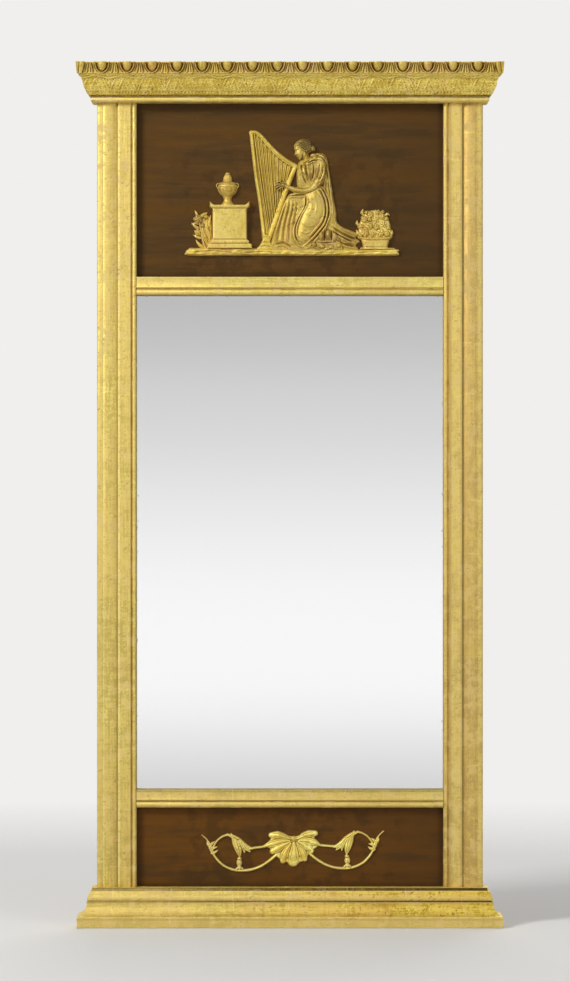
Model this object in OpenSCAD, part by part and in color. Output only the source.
// Gilded pier mirror: a painted panel with a cast relief above the glass, and one with scrolls below it.
// Millimetres. +Z is up, the front faces -Y, the wall plane is y = 0 and the underside is z = 0.
// A depth is measured from the wall plane towards the front. A projection is measured outwards from the
// carcass: to the front from the cores' front face, and sideways from the stiles' outer face.

/* [Overall] */
// Height from the underside of the base to the top of the cornice
overall_h = 1200; // [1100:1:1350]
// Width over the outer faces of the two stiles
frame_w = 537; // [500:1:600]
// Thickness of the two stiles and of the bottom rail
carcass_t = 24; // [23:0.5:30]
// Thickness of the top rail and the cross rails, which leaves a recess behind them
rail_t = 16; // [15:0.25:16.5]
// Thickness of the gilded mouldings that are glued to the carcass
moulding_t = 14; // [13:0.5:20]

/* [Heights seen from the front] */
// Painted panel above the glass
upper_panel_h = 242; // [225:1:270]
// Painted panel below the glass
lower_panel_h = 110; // [100:1:150]
// Gilded bar between the upper panel and the glass
upper_bar_h = 26; // [25:0.5:36]
// Gilded bar between the glass and the lower panel
lower_bar_h = 25.5; // [25:0.5:36]

/* [Mouldings round the sight] */
// Width of the rounded outer moulding on a stile
outer_moulding_w = 29; // [28:0.5:38]
// Width of the flat inner moulding on a stile, with its bead
inner_moulding_w = 26; // [20:0.5:30]
// Width of the bead at the sight edge
sight_bead_w = 5; // [4:0.25:6]
// Width of the bead along the lower edge of a crossbar
bar_bead_w = 9; // [6:0.5:10]
// Depth of the grooves between the members
groove_deep = 4; // [3:0.25:5]

/* [Cornice] */
// Height of the egg-and-dart band
egg_band_h = 16; // [14:0.5:20]
// Projection of the eggs
egg_band_p = 28.5; // [26:0.5:32]
// Distance from egg to egg
egg_pitch = 34.75; // [32:0.25:44]
// Width of an egg
egg_w = 12.8; // [10:0.2:13]
// Height of the cyma below the eggs, with the quirk under it
cyma_h = 31; // [31:0.5:40]
// Projection of the cyma's upper edge
cyma_top_p = 22.5; // [21:0.5:24]
// Projection of the cyma's middle
cyma_mid_p = 17.5; // [16:0.5:19]
// Height of the neck bead
neck_bead_h = 8; // [6:0.5:12]
// Projection of the neck bead
neck_bead_p = 8.5; // [6:0.5:12]

/* [Base] */
// Height of the base
base_h = 54; // [50:1:70]
// Projection of the fillet at the foot of the base
base_fillet_p = 27; // [24:0.5:29]
// Height of that fillet
base_fillet_h = 14.5; // [10:0.5:18]
// Projection of the half-round below the base's top fillet
base_torus_p = 12.5; // [10:0.5:14]
// Height of that half-round
base_torus_h = 11; // [8:0.5:12]
// Projection of the base's top fillet
base_cap_p = 8.5; // [4:0.5:9]
// Height of the base's top fillet
base_cap_h = 7; // [4:0.5:10]

/* [Rails and joints] */
// How far the mouldings cover the edges of the glass and the panels
rebate_w = 6; // [5:0.25:6.5]
// Height of the top rail's flange behind the upper panel
top_flange_h = 30; // [26:1:45]
// How far the carcass stays below the top of the cornice
top_set_back = 4; // [2:0.5:8]
// Length of a tenon
tenon_l = 30; // [20:1:34]
// Thickness of a tenon
tenon_t = 6; // [5:0.25:6.5]
// Depth of a tenon's back face
tenon_deep = 10; // [9.5:0.25:10.25]
// Shoulder above and below a tenon
tenon_shoulder = 2; // [1:0.25:2.5]
// Shoulder beside the end of a stile
end_shoulder = 16; // [10:1:20]
// Diameter of the pegs that lock the tenons
peg_d = 4; // [3:0.25:5]
// Length of a peg
peg_l = 20; // [18:0.5:22]
// Clearance all round a tenon, peg, nail or screw
joint_play = 0.05; // [0.03:0.01:0.1]

/* [Panels, glass and backboard] */
// Thickness of the painted panels
panel_t = 7; // [6.5:0.25:7.5]
// Gap beside the edges of the glass, the panels and the backboard
edge_gap = 1; // [0.5:0.25:2]
// Thickness of the glass
glass_t = 3; // [2.5:0.25:4]
// Thickness of the silvering with its backing paint
silver_t = 0.3; // [0.2:0.05:0.6]
// Thickness of the backboard's planks
plank_t = 6; // [5:0.25:6.5]
// Gap between two planks
plank_gap = 0.6; // [0.3:0.1:1.5]
// How far a plank laps over a cross rail
plank_lap = 12; // [10:0.5:13]
// Distance between the two nails at a plank's end
nail_spacing = 90; // [60:1:110]
// Diameter of a nail's shank
nail_d = 2; // [1.5:0.1:2.5]
// Diameter of a nail's head
nail_head_d = 5; // [4:0.25:6]
// Length of a glue block
block_l = 40; // [25:1:60]
// Width of a glue block against its neighbour
block_w = 10; // [6:0.5:11]

/* [Hangers] */
// Distance between the two hanging rings
hanger_spacing = 300; // [200:1:360]
// Height of the rings' axis above the lower edge of the top rail
hanger_up = 46; // [40:1:48]
// Width of a hanger's strap
strap_w = 16; // [12:0.5:18]
// Thickness of a strap, which is a folded sheet
strap_t = 2; // [1.6:0.1:2.4]
// Diameter of the rings' wire
wire_d = 3; // [2.6:0.1:3.2]
// Clear width of a ring
ring_clear_w = 24; // [22:0.5:28]
// Height of a ring's straight part
ring_straight_l = 4; // [3:0.5:6]
// Clearance all round the wire in its knuckle
knuckle_play = 0.08; // [0.04:0.01:0.1]
// Diameter of a screw's shank
screw_d = 3; // [2.5:0.1:3.5]
// Diameter of a screw's head
screw_head_d = 7; // [6:0.25:8]
// Height of a screw's head
screw_head_h = 1.2; // [0.8:0.1:1.5]

/* [Relief on the upper panel] */
// Height of the relief's underside above the panel's lower edge
relief_up = 28.5; // [10:0.5:45]
// How far the ground strip stands out
ground_t = 7; // [5:0.5:12]
// How far the altar's block stands out
altar_t = 9; // [6:0.5:12]
// Radius of the urn
urn_r = 14; // [12:0.5:15]
// How far the harp's frame stands out
harp_t = 5; // [4:0.5:6]
// How far the harp's strings stand out
string_t = 3; // [2:0.25:4]
// Number of strings
string_count = 10; // [7:1:13]
// How far the cloak stands out
cloak_t = 4.5; // [3:0.5:6]
// How far the gown stands out
gown_t = 7; // [6:0.5:8]
// How far the bust and the bent leg stand out
bust_t = 9; // [8.5:0.5:10]
// How far the arm stands out
arm_t = 11; // [10.5:0.5:12]
// Radius of the head
head_r = 12; // [10:0.5:13]
// How far the basket stands out
basket_t = 8; // [6:0.5:12]

/* [Scrolls on the lower panel] */
// Height of the shell's root above the panel's lower edge
shell_up = 67; // [60:0.5:72]
// Sideways place of the shell, which is set a little to the right of the middle
shell_x = 4; // [-5:0.5:8]
// How far the shell's lobes stand out
shell_t = 5; // [4:0.5:7]
// Radius of a lobe at its tip
lobe_r = 6.5; // [5.5:0.25:7]
// How far the scrolls stand out
scroll_t = 4; // [3:0.25:6]
// How many degrees the right-hand scroll is tilted up
scroll_tilt = 2.5; // [0:0.25:4]

/* [Hidden] */
$fn = 48;
// Colours
gilt = [0.82, 0.70, 0.36];
brown_paint = [0.30, 0.20, 0.10];
pine = [0.74, 0.58, 0.38];
plate_glass = [0.80, 0.84, 0.85];
dark_metal = [0.36, 0.33, 0.30];
// Steps of an arc, of one stretch of a curve, and of an egg's outline
arc_steps = 8;
curve_steps = 4;
egg_steps = 6;
// Length of a cut past the surface that it opens
past = 1;
// Radius of the sharpest edge of a ribbon's end
ribbon_tip = 0.8;

// Depths
rail_back = carcass_t - rail_t;
mould_front = carcass_t + moulding_t;
panel_back = carcass_t - panel_t;
glass_back = carcass_t - glass_t;
silver_back = glass_back - silver_t;
plank_back = rail_back - plank_t;
// Half widths
half_w = frame_w / 2;
sight_half = half_w - outer_moulding_w - inner_moulding_w;
rebate_half = sight_half + rebate_w;
edge_half = rebate_half - edge_gap;
// Levels
cornice_bottom = overall_h - egg_band_h - cyma_h - neck_bead_h;
lower_panel_top = base_h + lower_panel_h;
glass_bottom = lower_panel_top + lower_bar_h;
upper_panel_bottom = cornice_bottom - upper_panel_h;
glass_top = upper_panel_bottom - upper_bar_h;
carcass_top = overall_h - top_set_back;
top_rail_bottom = cornice_bottom + rebate_w - top_flange_h;
egg_band_bottom = overall_h - egg_band_h;
neck_bead_top = cornice_bottom + neck_bead_h;

// Heights of the tenons, from the bottom rail to the top rail
tenon_levels = [
    [end_shoulder, base_h - rebate_w - tenon_shoulder],
    [lower_panel_top + rebate_w + tenon_shoulder, glass_bottom - rebate_w - tenon_shoulder],
    [glass_top + rebate_w + tenon_shoulder, upper_panel_bottom - rebate_w - tenon_shoulder],
    [top_rail_bottom + tenon_shoulder, carcass_top - end_shoulder]
];
top_level = len(tenon_levels) - 1;
// Sideways place of the pegs
peg_x = rebate_half + tenon_l / 2;
// Nails
nail_head_h = 0.8;
nail_l = 16;
plank_w = 2 * (edge_half - plank_gap) / 3;
nail_levels = [glass_bottom - rebate_w - plank_lap / 2, glass_top + rebate_w + plank_lap / 2];

// Hangers: the knuckle stands just clear of the rail, and the ring leans just clear of the strap
wire_r = wire_d / 2;
knuckle_in = wire_r + knuckle_play;
knuckle_out = knuckle_in + strap_t / 2;
knuckle_clear = 0.2;
pivot_deep = rail_back - knuckle_out - knuckle_clear;
pivot_z = top_rail_bottom + hanger_up;
ring_bend_r = 2.5;
ring_r = ring_clear_w / 2 + wire_r;
ring_drop = ring_straight_l + ring_r;
rest_gap = 0.1;
ring_reach = ring_straight_l + sqrt(pow(ring_r, 2) - pow(strap_w / 2, 2));
ring_lean = asin((pivot_deep - rail_back + strap_t + wire_r + rest_gap) / ring_reach);
screw_margin = 3;
screw_drops = [
    (knuckle_out + ring_drop - wire_r) / 2,
    ring_drop + wire_r + screw_margin + screw_head_d / 2
];
strap_l = screw_drops[1] + screw_head_d / 2 + screw_margin;
screw_wall = 1.5;
screw_l = strap_t + rail_t - panel_t - screw_wall;
screw_slot_w = 0.8;
screw_slot_deep = 0.6;

// Stile mouldings: crown, arris and hollow of the outer one, flat band and groove of the inner one
crown_w = 18;
crown_rise = 1.8;
crown_corner_r = 3;
crown_lap = 1;
crown_start = 100;
crown_r = (pow(crown_w / 2, 2) + pow(crown_rise, 2)) / (2 * crown_rise);
crown_angle = asin(crown_w / 2 / crown_r);
arris_drop = 0.8;
hollow_deep = 3.4;
hollow_lip = 1;
sight_groove_w = 3;
sight_bead_up = 0.6;
band_set_back = 1;
bar_groove_w = 2;
band_rise = 1;

// Cornice
quirk_p = 6;
quirk_h = 1.5;
ovolo_r = 15.5;
ovolo_angle = 69;
cove_r = 10;
egg_back_p = 21.5;
rim_p = egg_band_p - 2;
dart_p = egg_band_p - 3;
egg_groove_w = 2;
egg_rim_w = 1.7;
egg_clear = 1.4;
rim_clear = 0.3;
rim_foot_h = 1.2;
corner_spare = 12;
egg_count = floor(2 * (half_w + egg_band_p - corner_spare) / egg_pitch);
corner_gap = half_w + egg_band_p - egg_count * egg_pitch / 2;
side_egg_count = floor((mould_front + egg_band_p - corner_gap) / egg_pitch);
dart_outline = [[1.3, 1], [1.8, -8], [3.6, -12], [0, -15], [-3.6, -12], [-1.8, -8], [-1.3, 1]];
corner_leaf_outline = [[-11, 1], [4, 1], [4, -15.5], [-2, -14], [-7, -8]];

// Base: worn arris of the fillet, depth of the cove above it, and the groove below the half-round
base_arris = 1;
base_cove_deep = 4.4;
base_ledge_p = 13.5;
base_groove_h = 1.5;

// Relief on the upper panel, in millimetres from the middle and from the relief's underside
relief_bottom = upper_panel_bottom + relief_up;
ground_h = 9;
relief_reach = 300;
ground_outline = [[-145.4, 5], [-132, ground_h], [147, ground_h], [150.4, 5], [146, 0], [-130, 0]];
altar_x = -84;
altar_plinth = [62, 8];
altar_step = [54, 5.5];
altar_die = [47.5, 42];
altar_cap = [53.5, 6];
altar_horn = [7, 4];
altar_step_out = 1.5;
altar_top = ground_h + altar_plinth[1] + altar_step[1] + altar_die[1] + altar_cap[1];
urn_x = -87;
urn_sink = 4;
// The urn's outline as shares of its radius and, second, as heights above the altar
urn_outline = [
    [0, 0], [0.74, 0], [0.74, 2.5], [0.38, 5], [0.42, 7], [0.68, 12], [0.92, 19], [1, 25], [0.86, 28.5],
    [0.42, 30], [0.42, 33], [0.3, 37], [0.14, 39.5], [0.16, 41.5], [0, 43]
];
urn_handle_r = 2.5;
urn_handle_w = 1.2;
urn_handle_t = 4;
plant_t = 4;
plant_stem = [[-122, ground_h - 1], [-125, 30], [-127, 50]];
plant_leaves = [
    [[-124, 14], [-131, 22]], [[-123, 16], [-118, 27]], [[-125, 32], [-115, 38]],
    [[-125, 36], [-137, 42]], [[-126, 44], [-113, 50]], [[-127, 48], [-122, 62]]
];
plant_leaf_w = 6;
plant_stem_w = 2.5;
plant_flowers = [[-127.5, 50], [-128, 30]];
flower_r = 3;
flower_ring_r = 3.4;
flower_t = 6;
petal_count = 5;
harp_pillar = [[-53.5, 171], [-47, 114], [-41.3, 74], [-35, 20]];
harp_neck = [[-53.5, 172], [-37, 162], [-25.5, 148.5], [-13.5, 135.5], [-2, 128], [7, 124.5]];
harp_board = [[7, 125], [-3, 99], [-15.5, 63], [-30, 22]];
harp_foot = [[-46, ground_h], [-25, ground_h], [-27.5, 16], [-26, 27], [-37, 29], [-40, 18]];
// Thin casting behind the strings, with its edge inside the harp's frame
harp_web = [
    [-52.5, 168], [-37, 160.5], [-25, 147], [-13, 134.5], [-2, 127], [5, 123], [-4, 98], [-16.5, 62],
    [-30, 25], [-36.5, 25], [-42, 74], [-47.7, 114]
];
harp_frame_w = 4.8;
harp_board_w = 7.5;
harp_scroll_r = 3.5;
string_w = 1.4;
web_t = 1.5;
string_spread = 0.5;
cloak_outline = [
    [34, 138], [43, 143], [51, 137], [54, 120], [57.5, 100], [60, 82], [64, 62], [65, 47], [75, 39],
    [88, 34.5], [95, 30], [97, 18], [94, 4], [60, 2], [30, 30], [28, 100]
];
gown_outline = [
    [12, 94], [30, 96], [46, 96], [52, 78], [53, 55], [49, 30], [40, 6], [8, 4], [-23, 6],
    [-24.5, 25], [-16, 50], [-8.5, 72], [-2, 84]
];
leg_outline = [[25, 84], [45, 86], [46, 66], [36, 40], [29, 20], [15, 17], [8, 27], [14, 50], [20, 68]];
bust_outline = [
    [12, 94], [9, 110], [10, 124], [13, 131], [22, 135], [36, 137], [47, 132], [49.5, 116], [46, 98],
    [28, 93]
];
upper_arm = [[42, 127], [41, 108], [32, 93]];
forearm = [[33, 94], [12, 91], [-8, 97]];
hand_outline = [[-5, 101], [-13, 104], [-19, 101], [-14, 94], [-5, 94]];
foot_outline = [[38, 6], [45, 26], [56, 33], [66, 24], [64, 6]];
throat = [[22, 128], [19, 146]];
gown_folds = [
    [[-1, 80], [-9, 50], [-14, 6]], [[5, 78], [1, 45], [-4, 6]], [[46, 84], [50, 55], [48, 24]],
    [[57, 96], [60, 62], [59, 44]], [[60, 36], [76, 27], [90, 14]]
];
fold_w = 2.5;
fold_t = 8;
upper_arm_w = 13;
forearm_w = 9;
wrist_w = 6;
throat_w = 9;
head_at = [18.3, 148];
bun_at = [28.2, 147.2];
bun_r = 5;
ball_sink = 1;
basket_outline = [[102, ground_h], [137, ground_h], [140.5, 20], [98.5, 20]];
basket_rim = [[97, 142], [18, 22.5]];
basket_foot = [[99, 140], [ground_h, 12]];
basket_rim_out = 1;
// Blooms in the basket: sideways place, height and radius
blooms = [
    [104, 30, 8], [118, 29, 9], [133, 30, 8], [102, 43, 7.5], [113, 45, 9], [127, 45, 9], [137, 41, 6],
    [108, 56, 6], [131, 55, 6], [120, 57, 6]
];

// Scrolls on the lower panel, in millimetres from the shell's root
shell_boss_r = 7;
shell_boss_out = 1;
lobe_waist = 0.6;
// Lobes of the shell's left half: direction in degrees, and distance from the root to the tip's centre
shell_lobes = [[165, 24], [192, 33], [219, 28], [247, 28]];
shell_middle_lobe = [270, 29];
scroll_arc = [
    [-27.5, -26], [-46, -37.5], [-63, -43], [-80, -42.5], [-94, -37.5], [-107, -27.5], [-115, -16],
    [-119, -5], [-128, 7]
];
scroll_ring = [[-89, 5.5], [-100, 4.5], [-109, -1], [-117, -11]];
scroll_twig = [[-40.5, -9], [-52, -11.5], [-63, -12.5]];
scroll_leaf = [[-60, -13.5], [-74, -3.5], [-93, 6.5]];
scroll_fallen_leaf = [[-88, 3], [-80, -8], [-75.5, -24]];
scroll_low_leaf = [[-62, -12.5], [-69, -16], [-74, -23]];
scroll_bud = [[-75, -23], [-75, -43]];
scroll_leaf_w = 6;
scroll_fallen_leaf_w = 7;
scroll_low_leaf_w = 6;
scroll_arc_w = 4.5;
scroll_twig_w = 3.5;

// Points on an arc round a centre, from one angle to another
function arc(centre, r, from, to) = [
    for (i = [0:arc_steps])
        let (a = from + (to - from) * i / arc_steps)
            centre + r * [cos(a), sin(a)]
];

// Points on a hollow from one point to another, sunk to the right of its way by a depth at its middle
function hollow(a, b, deep) =
    let (
        half = norm(b - a) / 2,
        r = (half * half + deep * deep) / (2 * deep),
        centre = (a + b) / 2 + (r - deep) / (2 * half) * [b[1] - a[1], a[0] - b[0]],
        start = atan2(a[1] - centre[1], a[0] - centre[0])
    )
        arc(centre, r, start, start - 2 * asin(half / r));

// Half an ellipse that hangs below the line y = 0, from right to left
function hanging(rx, ry) = [
    for (i = [0:2 * egg_steps])
        let (a = 90 * i / egg_steps)
            [rx * cos(a), -ry * sin(a)]
];

function reversed(v) = [for (i = [len(v) - 1:-1:0]) v[i]];

// Place between b and c on a smooth curve that also runs through a and d
function blend(a, b, c, d, t) =
    b + t / 2 * (c - a + t * (2 * a - 5 * b + 4 * c - d + t * (3 * (b - c) + d - a)));

// Smooth closed outline through a few points
function smooth(v) = [
    for (i = [0:len(v) - 1])
        for (k = [0:curve_steps - 1])
            let (n = len(v))
                blend(v[(i + n - 1) % n], v[i], v[(i + 1) % n], v[(i + 2) % n], k / curve_steps)
];

// Place on a smooth open curve through a few points, with s counted in points
function kept(v, i) = v[max(0, min(len(v) - 1, i))];
function along(v, s) =
    let (i = min(floor(s), len(v) - 2))
        blend(kept(v, i - 1), kept(v, i), kept(v, i + 1), kept(v, i + 2), s - i);

// Point beside such a curve, to its left where the offset is above zero
function beside(v, s, offset) =
    let (
        reach = 0.01,
        ahead = along(v, min(len(v) - 1, s + reach)) - along(v, max(0, s - reach)),
        way = ahead / norm(ahead)
    )
        along(v, s) + offset * [-way[1], way[0]];

// Flat ribbon along a curve, with a width at each end and a belly in the middle
module ribbon(v, w_from, w_to, belly = 0) {
    last = len(v) - 1;
    spots = [for (i = [0:curve_steps * last]) i / curve_steps];
    left = [
        for (s = spots)
            beside(v, s, (w_from + (w_to - w_from) * s / last + belly * sin(180 * s / last)) / 2)
    ];
    right = [
        for (s = spots)
            beside(v, s, -(w_from + (w_to - w_from) * s / last + belly * sin(180 * s / last)) / 2)
    ];
    polygon(concat(left, reversed(right)));
}

// Block between two sideways places, two heights and two depths
module block(x, z, d) {
    translate([x[0], -d[1], z[0]])
        cube([x[1] - x[0], d[1] - d[0], z[1] - z[0]]);
}

// The same shapes on the right and, mirrored, on the left
module both_sides() {
    children();
    mirror([1, 0, 0])
        children();
}

// Rod along the depth, from one depth to another
module rod(x, z, d, diameter) {
    translate([x, -d[0], z])
        rotate([90, 0, 0])
            cylinder(h = d[1] - d[0], d = diameter, $fn = 24);
}

// Tenon on the right-hand end of a rail, or its mortise with play all round
module tenon(i, play) {
    level = tenon_levels[i];
    block(
        [rebate_half - past, rebate_half + tenon_l + play],
        [level[0] - play, level[1] + play],
        [tenon_deep - play, tenon_deep + tenon_t + play]
    );
}

// Peg through the middle of a tenon, or its hole with play all round
module peg(i, play, start) {
    level = tenon_levels[i];
    rod(peg_x, (level[0] + level[1]) / 2, [start, peg_l + play], peg_d + 2 * play);
}

module nail_places() {
    for (side = [-1:1], lean = [-1, 1], z = nail_levels)
        translate([side * (plank_w + plank_gap) + lean * nail_spacing / 2, 0, z])
            children();
}

module nail_hole() {
    rod(0, 0, [plank_back - past, plank_back + nail_l + joint_play], nail_d + 2 * joint_play);
}

module screw_places(side) {
    for (drop = screw_drops)
        translate([side * hanger_spacing / 2, 0, pivot_z - drop])
            children();
}

module screw_hole() {
    from = rail_back - strap_t;
    rod(0, 0, [from - past, from + screw_l + joint_play], screw_d + 2 * joint_play);
}

module stile() {
    difference() {
        block([rebate_half, half_w], [0, carcass_top], [0, carcass_t]);
        for (i = [0:len(tenon_levels) - 1]) {
            tenon(i, joint_play);
            peg(i, joint_play, -past);
        }
    }
}

// Rail with its two pegged tenons; the children are its body
module rail(i) {
    difference() {
        union() {
            children();
            both_sides()
                tenon(i, 0);
        }
        both_sides()
            peg(i, joint_play, -past);
    }
}

module left_stile() {
    color(pine)
        mirror([1, 0, 0])
            stile();
}

module right_stile() {
    color(pine)
        stile();
}

module top_rail() {
    width = [-rebate_half, rebate_half];
    color(pine)
        difference() {
            rail(top_level)
                union() {
                    block(width, [cornice_bottom + rebate_w, carcass_top], [rail_back, carcass_t]);
                    block(width, [top_rail_bottom, carcass_top], [rail_back, panel_back]);
                }
            screw_places(-1)
                screw_hole();
            screw_places(1)
                screw_hole();
        }
}

module cross_rail(i, levels) {
    color(pine)
        difference() {
            rail(i)
                block([-rebate_half, rebate_half], levels, [rail_back, carcass_t]);
            nail_places()
                nail_hole();
        }
}

module upper_cross_rail() {
    cross_rail(2, [glass_top + rebate_w, upper_panel_bottom - rebate_w]);
}

module lower_cross_rail() {
    cross_rail(1, [lower_panel_top + rebate_w, glass_bottom - rebate_w]);
}

module bottom_rail() {
    color(pine)
        rail(0)
            block([-rebate_half, rebate_half], [0, base_h - rebate_w], [0, carcass_t]);
}

module joint_pegs() {
    color(pine)
        for (i = [0:len(tenon_levels) - 1])
            both_sides()
                peg(i, 0, 0);
}

module cornice_core() {
    color(gilt)
        block([-half_w, half_w], [cornice_bottom, overall_h], [carcass_t, mould_front]);
}

module base_core() {
    color(gilt)
        block([-half_w, half_w], [0, base_h], [carcass_t, mould_front]);
}

// Plan of the space in front of the cores, as far as the two mitres
module front_space() {
    reach = 2 * base_fillet_p;
    translate([0, 0, -past])
        linear_extrude(overall_h + 2 * past)
            polygon([
                [-half_w, -mould_front], [half_w, -mould_front],
                [half_w + reach, -mould_front - reach], [-half_w - reach, -mould_front - reach]
            ]);
}

// Plan of the space beside the right-hand stile, from the wall plane to the mitre
module side_space() {
    reach = 2 * base_fillet_p;
    translate([0, 0, -past])
        linear_extrude(overall_h + 2 * past)
            polygon([
                [half_w, 0], [half_w, -mould_front],
                [half_w + reach, -mould_front - reach], [half_w + reach, 0]
            ]);
}

// Length of moulding across the front, of a profile drawn as projection and height
module front_run(z, profile) {
    reach = half_w + 2 * base_fillet_p;
    intersection() {
        translate([reach, -mould_front, z])
            rotate([90, 0, -90])
                linear_extrude(2 * reach)
                    polygon(profile);
        front_space();
    }
}

// The same profile along the right-hand side
module side_run(z, profile) {
    intersection() {
        translate([half_w, 0, z])
            rotate([90, 0, 0])
                linear_extrude(mould_front + 2 * base_fillet_p)
                    polygon(profile);
        side_space();
    }
}

// Cyma: quirk, ovolo below, straight middle, cove above, top fillet
ovolo_centre = [cyma_mid_p - ovolo_r, quirk_h + ovolo_r * sin(ovolo_angle)];
cove_turn = acos((cove_r + cyma_mid_p - cyma_top_p) / cove_r);
cove_centre = [cyma_mid_p + cove_r, cyma_h - quirk_h - past - cove_r * sin(cove_turn)];
cyma_profile = concat(
    [[0, 0], [quirk_p, 0], [quirk_p, quirk_h]],
    arc(ovolo_centre, ovolo_r, -ovolo_angle, 0),
    arc(cove_centre, cove_r, 180, 180 - cove_turn),
    [[cyma_top_p, cyma_h], [0, cyma_h]]
);
neck_bead_profile = concat(
    [[0, 0]],
    arc([neck_bead_p - neck_bead_h / 2, neck_bead_h / 2], neck_bead_h / 2, -90, 90),
    [[0, neck_bead_h]]
);

module cornice_cyma_front() {
    color(gilt)
        front_run(neck_bead_top, cyma_profile);
}

module cornice_cyma_right() {
    color(gilt)
        side_run(neck_bead_top, cyma_profile);
}

module cornice_cyma_left() {
    mirror([1, 0, 0])
        cornice_cyma_right();
}

module neck_bead_front() {
    color(gilt)
        front_run(cornice_bottom, neck_bead_profile);
}

module neck_bead_right() {
    color(gilt)
        side_run(cornice_bottom, neck_bead_profile);
}

module neck_bead_left() {
    mirror([1, 0, 0])
        neck_bead_right();
}

// Flat cut-out that stands in front of the egg band's back, in the band's own frame
module egg_relief(projection) {
    translate([0, 1 - egg_back_p, 0])
        rotate([90, 0, 0])
            linear_extrude(projection - egg_back_p + 1)
                children();
}

module egg() {
    translate([0, egg_w / 2 - egg_band_p, 0])
        rotate_extrude()
            polygon([
                for (i = [0:egg_steps])
                    let (a = 90 * i / egg_steps)
                        [egg_w / 2 * sin(a), -(egg_band_h - egg_clear) * cos(a)],
                [0, 0]
            ]);
}

module egg_rim() {
    rx = egg_w / 2 + egg_groove_w;
    ry = egg_band_h - rim_clear;
    egg_relief(rim_p)
        polygon(concat(
            hanging(rx + egg_rim_w, ry),
            reversed(hanging(rx, ry - rim_foot_h))
        ));
}

// Row of eggs with darts between and outside them, centred, with its front towards -Y
module egg_row(count) {
    first = -(count - 1) / 2 * egg_pitch;
    for (i = [0:count - 1])
        translate([first + i * egg_pitch, 0, 0]) {
            egg();
            egg_rim();
        }
    for (i = [0:count])
        translate([first + (i - 0.5) * egg_pitch, 0, 0])
            egg_relief(dart_p)
                polygon(dart_outline);
}

module egg_band_space() {
    block(
        [-half_w - 2 * egg_band_p, half_w + 2 * egg_band_p],
        [egg_band_bottom, overall_h],
        [-past, mould_front + 2 * egg_band_p]
    );
}

egg_back_profile = [[0, 0], [egg_back_p, 0], [egg_back_p, egg_band_h], [0, egg_band_h]];

module egg_band_front() {
    color(gilt)
        union() {
            front_run(egg_band_bottom, egg_back_profile);
            intersection() {
                translate([0, -mould_front, overall_h]) {
                    egg_row(egg_count);
                    both_sides()
                        translate([half_w + rim_p, 0, 0])
                            egg_relief(rim_p)
                                polygon(corner_leaf_outline);
                }
                front_space();
                egg_band_space();
            }
        }
}

module egg_band_right() {
    row_y = egg_pitch * side_egg_count / 2 + corner_gap - mould_front - egg_band_p;
    color(gilt)
        union() {
            side_run(egg_band_bottom, egg_back_profile);
            intersection() {
                translate([half_w, 0, overall_h])
                    rotate([0, 0, 90]) {
                        translate([row_y, 0, 0])
                            egg_row(side_egg_count);
                        translate([-mould_front - rim_p, 0, 0])
                            mirror([1, 0, 0])
                                egg_relief(rim_p)
                                    polygon(corner_leaf_outline);
                    }
                side_space();
                egg_band_space();
            }
        }
}

module egg_band_left() {
    mirror([1, 0, 0])
        egg_band_right();
}

// Base: fillet, cove, ledge, groove, half-round and top fillet
base_torus_top = base_h - base_cap_h;
base_torus_centre = [base_torus_p - base_torus_h / 2, base_torus_top - base_torus_h / 2];
base_cove_top = base_torus_top - base_torus_h - base_groove_h;
base_profile = concat(
    [[0, 0], [base_fillet_p, 0], [base_fillet_p, base_fillet_h]],
    hollow(
        [base_fillet_p - base_arris, base_fillet_h + base_arris],
        [base_ledge_p, base_cove_top],
        base_cove_deep
    ),
    [[base_torus_centre[0], base_cove_top]],
    arc(base_torus_centre, base_torus_h / 2, -90, 90),
    [[base_cap_p, base_torus_top], [base_cap_p, base_h], [0, base_h]]
);

module base_moulding_front() {
    color(gilt)
        front_run(0, base_profile);
}

module base_moulding_right() {
    color(gilt)
        side_run(0, base_profile);
}

module base_moulding_left() {
    mirror([1, 0, 0])
        base_moulding_right();
}

// Upright moulding on the right-hand stile, of a profile drawn from its outer edge and from its back
module upright(x, profile) {
    translate([x, -carcass_t, base_h])
        rotate([0, 0, 180])
            linear_extrude(cornice_bottom - base_h)
                polygon(profile);
}

crown_centre = [crown_corner_r - crown_lap + crown_w / 2, moulding_t - crown_r];
crown_edge = [crown_centre[0] + crown_w / 2, moulding_t - crown_rise - arris_drop];
hollow_run = outer_moulding_w - hollow_lip - crown_edge[0];
hollow_r = (pow(hollow_run, 2) + pow(hollow_deep, 2)) / (2 * hollow_deep);
hollow_centre = [outer_moulding_w - hollow_lip, crown_edge[1] - hollow_deep + hollow_r];
outer_profile = concat(
    [[0, 0]],
    arc([crown_corner_r, moulding_t - crown_rise - crown_corner_r], crown_corner_r, 180, crown_start),
    arc(crown_centre, crown_r, 90 + crown_angle, 90 - crown_angle),
    [crown_edge],
    arc(hollow_centre, hollow_r, 270 - asin(hollow_run / hollow_r), 270),
    [[outer_moulding_w, crown_edge[1] - hollow_deep], [outer_moulding_w, 0]]
);

band_v = moulding_t - band_set_back;
band_end = inner_moulding_w - sight_bead_w - sight_groove_w;
inner_profile = concat(
    [[0, 0], [0, band_v], [band_end, band_v], [band_end, band_v - groove_deep]],
    arc(
        [inner_moulding_w - sight_bead_w / 2, band_v - groove_deep + sight_bead_up],
        sight_bead_w / 2, 180, 0
    ),
    [[inner_moulding_w, 0]]
);

module right_outer_moulding() {
    color(gilt)
        upright(half_w, outer_profile);
}

module left_outer_moulding() {
    mirror([1, 0, 0])
        right_outer_moulding();
}

module right_inner_moulding() {
    color(gilt)
        upright(half_w - outer_moulding_w, inner_profile);
}

module left_inner_moulding() {
    mirror([1, 0, 0])
        right_inner_moulding();
}

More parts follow.
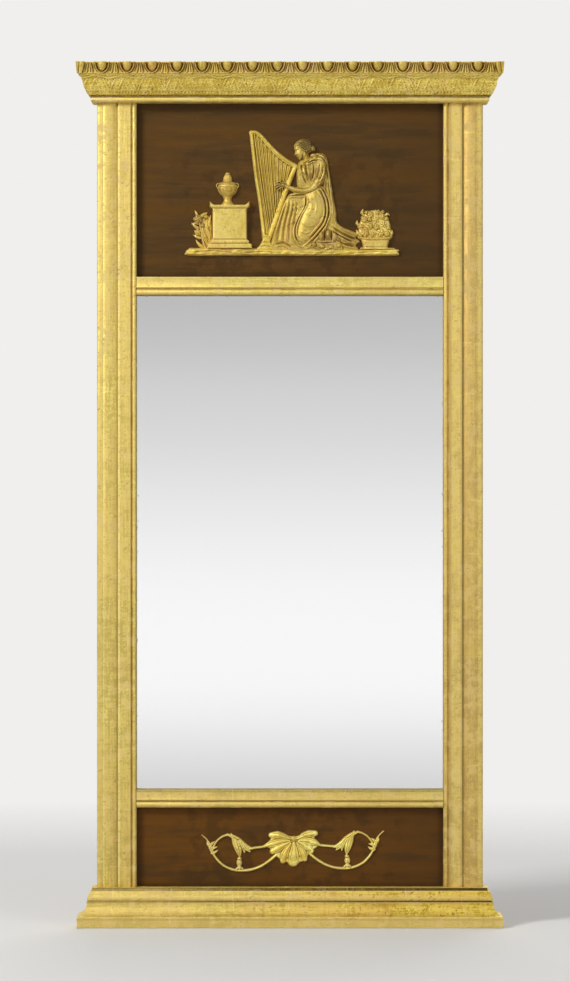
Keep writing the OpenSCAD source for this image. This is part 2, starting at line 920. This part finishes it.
// Crossbar profile from its back and from its lower edge: bead, groove, slightly rounded band
function bar_profile(h) =
    let (
        band_w = h - bar_bead_w - bar_groove_w,
        band_r = (pow(band_w / 2, 2) + pow(band_rise, 2)) / (2 * band_rise),
        turn = asin(band_w / 2 / band_r)
    )
        concat(
            [[0, 0]],
            arc([band_v - bar_bead_w / 2, bar_bead_w / 2], bar_bead_w / 2, -90, 90),
            [[band_v - bar_bead_w / 2, h - band_w]],
            arc([band_v - band_r, h - band_w / 2], band_r, -turn, turn),
            [[0, h]]
        );

module crossbar(z, h) {
    color(gilt)
        translate([sight_half, -carcass_t, z])
            rotate([90, 0, -90])
                linear_extrude(2 * sight_half)
                    polygon(bar_profile(h));
}

module upper_crossbar() {
    crossbar(glass_top, upper_bar_h);
}

module lower_crossbar() {
    crossbar(lower_panel_top, lower_bar_h);
}

// Sheet behind the mouldings that seals an opening between two heights
module sheet(bottom, top, d) {
    cover = rebate_w - edge_gap;
    block([-edge_half, edge_half], [bottom - cover, top + cover], d);
}

module upper_panel() {
    color(brown_paint)
        sheet(upper_panel_bottom, cornice_bottom, [panel_back, carcass_t]);
}

module lower_panel() {
    color(brown_paint)
        sheet(base_h, lower_panel_top, [panel_back, carcass_t]);
}

module mirror_glass() {
    color(plate_glass)
        sheet(glass_bottom, glass_top, [glass_back, carcass_t]);
}

module silvering() {
    color(dark_metal)
        sheet(glass_bottom, glass_top, [silver_back, glass_back]);
}

// Glue blocks in the corner between a sheet's back and the stiles
module glue_blocks(levels, back) {
    color(pine)
        for (z = levels)
            both_sides()
                block(
                    [rebate_half - block_w, rebate_half],
                    [z - block_l / 2, z + block_l / 2],
                    [back - block_w, back]
                );
}

module panel_glue_blocks() {
    levels = [
        base_h + lower_panel_h / 2,
        upper_panel_bottom + upper_panel_h / 4,
        upper_panel_bottom + upper_panel_h * 2 / 3
    ];
    glue_blocks(levels, panel_back);
}

module glass_glue_blocks() {
    sight = glass_top - glass_bottom;
    glue_blocks([for (i = [1, 3, 5]) glass_bottom + sight * i / 6], silver_back);
}

module back_plank(side) {
    middle = side * (plank_w + plank_gap);
    color(pine)
        difference() {
            block(
                [middle - plank_w / 2, middle + plank_w / 2],
                [glass_bottom - rebate_w - plank_lap, glass_top + rebate_w + plank_lap],
                [plank_back, rail_back]
            );
            nail_places()
                nail_hole();
        }
}

module back_plank_left() {
    back_plank(-1);
}

module back_plank_middle() {
    back_plank(0);
}

module back_plank_right() {
    back_plank(1);
}

module backboard_nails() {
    color(dark_metal)
        nail_places()
            union() {
                rod(0, 0, [plank_back - nail_head_h, plank_back], nail_head_d);
                rod(0, 0, [plank_back - nail_head_h / 2, plank_back + nail_l], nail_d);
            }
}

// Flat cut-out on the upper panel, between two heights above the panel's face
module cast_between(from, to) {
    translate([0, -carcass_t - from, relief_bottom])
        rotate([90, 0, 0])
            linear_extrude(to - from)
                children();
}

module cast(t) {
    cast_between(0, t)
        children();
}

// Keeps what lies above the ground strip
module above_ground() {
    intersection() {
        children();
        translate([-relief_reach / 2, ground_h])
            square([relief_reach, relief_reach]);
    }
}

// Keeps what stands in front of the upper panel and above a height of the relief
module in_front(up) {
    intersection() {
        children();
        block(
            [-relief_reach / 2, relief_reach / 2],
            [relief_bottom + up, relief_bottom + relief_reach],
            [carcass_t, mould_front + relief_reach]
        );
    }
}

// Ball on the upper panel, with its centre a little behind the face and its poles to front and back
module cast_ball(at, r) {
    translate([at[0], ball_sink - carcass_t, relief_bottom + at[1]])
        rotate([90, at[0], 0])
            sphere(r = r);
}

module relief_ground() {
    color(gilt)
        cast(ground_t)
            polygon(ground_outline);
}

module altar_course(size, up) {
    translate([altar_x - size[0] / 2, up])
        square(size);
}

module altar() {
    step_up = ground_h + altar_plinth[1];
    die_up = step_up + altar_step[1];
    cap_up = die_up + altar_die[1];
    horn_x = altar_cap[0] / 2;
    color(gilt)
        union() {
            cast(altar_t + altar_step_out)
                altar_course(altar_plinth, ground_h);
            cast(altar_t + altar_step_out / 2)
                altar_course(altar_step, step_up);
            cast(altar_t)
                altar_course(altar_die, die_up);
            cast(altar_t + altar_step_out)
                altar_course(altar_cap, cap_up);
            for (side = [-1, 1])
                cast(altar_t + altar_step_out)
                    translate([altar_x, altar_top])
                        polygon([
                            [side * horn_x, -1], [side * horn_x, altar_horn[1]],
                            [side * (horn_x - altar_horn[0]), 0], [side * (horn_x - altar_horn[0]), -1]
                        ]);
        }
}

module altar_urn() {
    shoulder = urn_outline[7][1];
    color(gilt)
        in_front(altar_top)
            union() {
                translate([urn_x, urn_sink - carcass_t, relief_bottom + altar_top])
                    rotate_extrude()
                        polygon([for (p = urn_outline) [p[0] * urn_r, p[1]]]);
                for (side = [-1, 1])
                    cast(urn_handle_t)
                        translate([urn_x + side * (urn_r - 1), altar_top + shoulder])
                            difference() {
                                circle(r = urn_handle_r);
                                circle(r = urn_handle_r - urn_handle_w);
                            }
            }
}

module flower(at) {
    cast(flower_t)
        translate(at)
            for (i = [0:petal_count - 1])
                rotate(i * 360 / petal_count)
                    translate([flower_ring_r, 0])
                        circle(r = flower_r);
}

module altar_plant() {
    color(gilt)
        union() {
            cast(plant_t)
                above_ground()
                    ribbon(plant_stem, plant_stem_w, plant_stem_w);
            for (leaf = plant_leaves)
                cast(plant_t)
                    ribbon(leaf, ribbon_tip, ribbon_tip, plant_leaf_w);
            for (at = plant_flowers)
                flower(at);
        }
}

module harp_frame() {
    polygon(harp_foot);
    translate(harp_pillar[0])
        circle(r = harp_scroll_r);
    ribbon(harp_pillar, harp_frame_w, harp_frame_w);
    ribbon(harp_neck, harp_frame_w, harp_board_w);
    ribbon(harp_board, harp_board_w, harp_board_w);
}

module harp_strings() {
    for (i = [1:string_count]) {
        t = i / (string_count + 1);
        top = along(harp_neck, t * (len(harp_neck) - 1));
        foot = along(harp_board, (1 - string_spread * t) * (len(harp_board) - 1));
        ribbon([top, foot], string_w, string_w);
    }
}

// Keeps a flat shape clear of the figure
module clear_of_figure() {
    difference() {
        children();
        polygon(smooth(bust_outline));
        polygon(smooth(gown_outline));
    }
}

module harp() {
    color(gilt)
        union() {
            cast(harp_t)
                clear_of_figure()
                    harp_frame();
            cast(string_t)
                clear_of_figure()
                    harp_strings();
            cast(web_t)
                clear_of_figure()
                    polygon(harp_web);
        }
}

module figure_layer(t, outline) {
    cast(t)
        above_ground()
            polygon(smooth(outline));
}

module harpist() {
    color(gilt)
        union() {
            figure_layer(cloak_t, cloak_outline);
            figure_layer(gown_t, gown_outline);
            figure_layer(gown_t, foot_outline);
            figure_layer(bust_t, leg_outline);
            figure_layer(bust_t, bust_outline);
            for (fold = gown_folds)
                cast(fold_t)
                    above_ground()
                        ribbon(fold, fold_w, fold_w);
            cast(gown_t)
                ribbon(throat, throat_w, throat_w);
            cast(arm_t)
                ribbon(upper_arm, upper_arm_w, forearm_w);
            cast_between(harp_t, arm_t) {
                ribbon(forearm, forearm_w, wrist_w);
                polygon(smooth(hand_outline));
            }
            in_front(0)
                union() {
                    cast_ball(head_at, head_r);
                    cast_ball(bun_at, bun_r);
                }
        }
}

module basket_bar(bar) {
    cast(basket_t + basket_rim_out)
        translate([bar[0][0], bar[1][0]])
            square([bar[0][1] - bar[0][0], bar[1][1] - bar[1][0]]);
}

module flower_basket() {
    color(gilt)
        union() {
            cast(basket_t)
                polygon(basket_outline);
            basket_bar(basket_rim);
            basket_bar(basket_foot);
        }
}

module basket_flowers() {
    color(gilt)
        in_front(basket_rim[1][1])
            union() {
                for (bloom = blooms)
                    cast_ball([bloom[0], bloom[1]], bloom[2]);
            }
}

// Flat cut-out on the lower panel, measured from the shell's root
module scroll_cast(t) {
    translate([shell_x, -carcass_t, base_h + shell_up])
        rotate([90, 0, 0])
            linear_extrude(t)
                children();
}

module shell_lobe(lobe) {
    rotate(lobe[0]) {
        polygon([[0, 0], [lobe[1], -lobe_r + lobe_waist], [lobe[1], lobe_r - lobe_waist]]);
        translate([lobe[1], 0])
            circle(r = lobe_r);
    }
}

module shell() {
    color(gilt)
        union() {
            scroll_cast(shell_t) {
                both_sides()
                    for (lobe = shell_lobes)
                        shell_lobe(lobe);
                shell_lobe(shell_middle_lobe);
            }
            scroll_cast(shell_t + shell_boss_out)
                circle(r = shell_boss_r);
        }
}

module scroll() {
    ribbon(scroll_arc, scroll_arc_w, ribbon_tip, scroll_arc_w / 2);
    ribbon(scroll_ring, scroll_twig_w, scroll_twig_w);
    ribbon(scroll_twig, scroll_twig_w, scroll_twig_w);
    ribbon(scroll_leaf, scroll_twig_w, scroll_twig_w, scroll_leaf_w);
    ribbon(scroll_fallen_leaf, ribbon_tip, ribbon_tip, scroll_fallen_leaf_w);
    ribbon(scroll_low_leaf, ribbon_tip, ribbon_tip, scroll_low_leaf_w);
    ribbon(scroll_bud, scroll_twig_w, scroll_twig_w);
}

module left_scroll() {
    color(gilt)
        scroll_cast(scroll_t)
            scroll();
}

module right_scroll() {
    color(gilt)
        scroll_cast(scroll_t)
            rotate(scroll_tilt)
                mirror([1, 0, 0])
                    scroll();
}

// Puts a hanger's own frame, with its origin in the middle of the ring's axis, on one side
module hanger_place(side) {
    translate([side * hanger_spacing / 2, -pivot_deep, pivot_z])
        children();
}

// Rod along the ring's axis
module axis_rod(length, diameter) {
    translate([-length / 2, 0, 0])
        rotate([0, 90, 0])
            cylinder(h = length, d = diameter);
}

module hanger_strap(side) {
    color(dark_metal)
        difference() {
            union() {
                hanger_place(side)
                    axis_rod(strap_w, 2 * knuckle_out);
                translate([side * hanger_spacing / 2, 0, pivot_z])
                    block([-strap_w / 2, strap_w / 2], [-strap_l, 0], [rail_back - strap_t, rail_back]);
            }
            hanger_place(side)
                axis_rod(strap_w + 2 * past, 2 * knuckle_in);
            screw_places(side)
                screw_hole();
        }
}

module left_hanger_strap() {
    hanger_strap(-1);
}

module right_hanger_strap() {
    hanger_strap(1);
}

module screw() {
    face = rail_back - strap_t;
    difference() {
        union() {
            rod(0, 0, [face - screw_head_h, face], screw_head_d);
            rod(0, 0, [face - screw_head_h / 2, face + screw_l], screw_d);
        }
        block(
            [-screw_head_d, screw_head_d],
            [-screw_slot_w / 2, screw_slot_w / 2],
            [face - screw_head_h - past, face - screw_head_h + screw_slot_deep]
        );
    }
}

module left_hanger_screws() {
    color(dark_metal)
        screw_places(-1)
            screw();
}

module right_hanger_screws() {
    color(dark_metal)
        screw_places(1)
            screw();
}

// Quarter of a wire ring in the plane of the hanger ring, round a centre, starting at an angle
module wire_bend(centre, r, start, turn) {
    translate([centre[0], 0, centre[1]])
        rotate([90, 0, 0])
            rotate(start)
                rotate_extrude(angle = turn)
                    translate([r, 0])
                        circle(r = wire_r, $fn = 24);
}

// D ring that hangs straight down from its axis
module hanging_ring() {
    corner = ring_r - ring_bend_r;
    leg = ring_straight_l - ring_bend_r;
    union() {
        axis_rod(2 * corner, wire_d);
        wire_bend([corner, -ring_bend_r], ring_bend_r, 0, 90);
        wire_bend([-corner, -ring_bend_r], ring_bend_r, 90, 90);
        for (side = [-1, 1])
            translate([side * ring_r, 0, -ring_straight_l])
                cylinder(h = leg, d = wire_d);
        wire_bend([0, -ring_straight_l], ring_r, 180, 180);
    }
}

module ring(side) {
    color(dark_metal)
        hanger_place(side)
            rotate([ring_lean, 0, 0])
                hanging_ring();
}

module left_ring() {
    ring(-1);
}

module right_ring() {
    ring(1);
}

left_stile();
right_stile();
top_rail();
upper_cross_rail();
lower_cross_rail();
bottom_rail();
joint_pegs();
cornice_core();
egg_band_front();
egg_band_left();
egg_band_right();
cornice_cyma_front();
cornice_cyma_left();
cornice_cyma_right();
neck_bead_front();
neck_bead_left();
neck_bead_right();
base_core();
base_moulding_front();
base_moulding_left();
base_moulding_right();
left_outer_moulding();
right_outer_moulding();
left_inner_moulding();
right_inner_moulding();
upper_crossbar();
lower_crossbar();
upper_panel();
lower_panel();
panel_glue_blocks();
mirror_glass();
silvering();
glass_glue_blocks();
back_plank_left();
back_plank_middle();
back_plank_right();
backboard_nails();
relief_ground();
altar();
altar_urn();
altar_plant();
harp();
harpist();
flower_basket();
basket_flowers();
shell();
left_scroll();
right_scroll();
left_hanger_strap();
right_hanger_strap();
left_hanger_screws();
right_hanger_screws();
left_ring();
right_ring();
